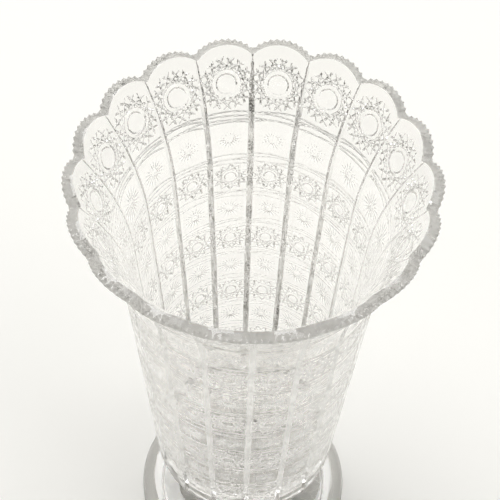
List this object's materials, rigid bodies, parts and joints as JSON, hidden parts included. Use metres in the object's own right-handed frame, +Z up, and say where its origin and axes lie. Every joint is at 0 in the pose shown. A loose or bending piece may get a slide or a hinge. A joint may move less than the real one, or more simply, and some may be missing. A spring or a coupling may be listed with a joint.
{
  "type": "cut crystal vase",
  "caption": "Tall flared vase of clear cut crystal with a scalloped saw-toothed rim, upright columns of star cuts, a short faceted stem and a round star-cut foot.",
  "frame": {"origin": "centre of the plane that the foot rests on", "axes": "+Z up along the vase's axis, +Y through an upright cut between two columns"},
  "size_m": [0.1692, 0.1678, 0.305],
  "materials": {
    "cut_crystal": "polished crystal, cut all over",
    "clear_crystal": "polished clear crystal"
  },
  "bodies": {
    "root": {"bowl": "cut_crystal", "wafer": "clear_crystal", "knop": "clear_crystal", "foot": "clear_crystal"}
  },
  "joints": []
}
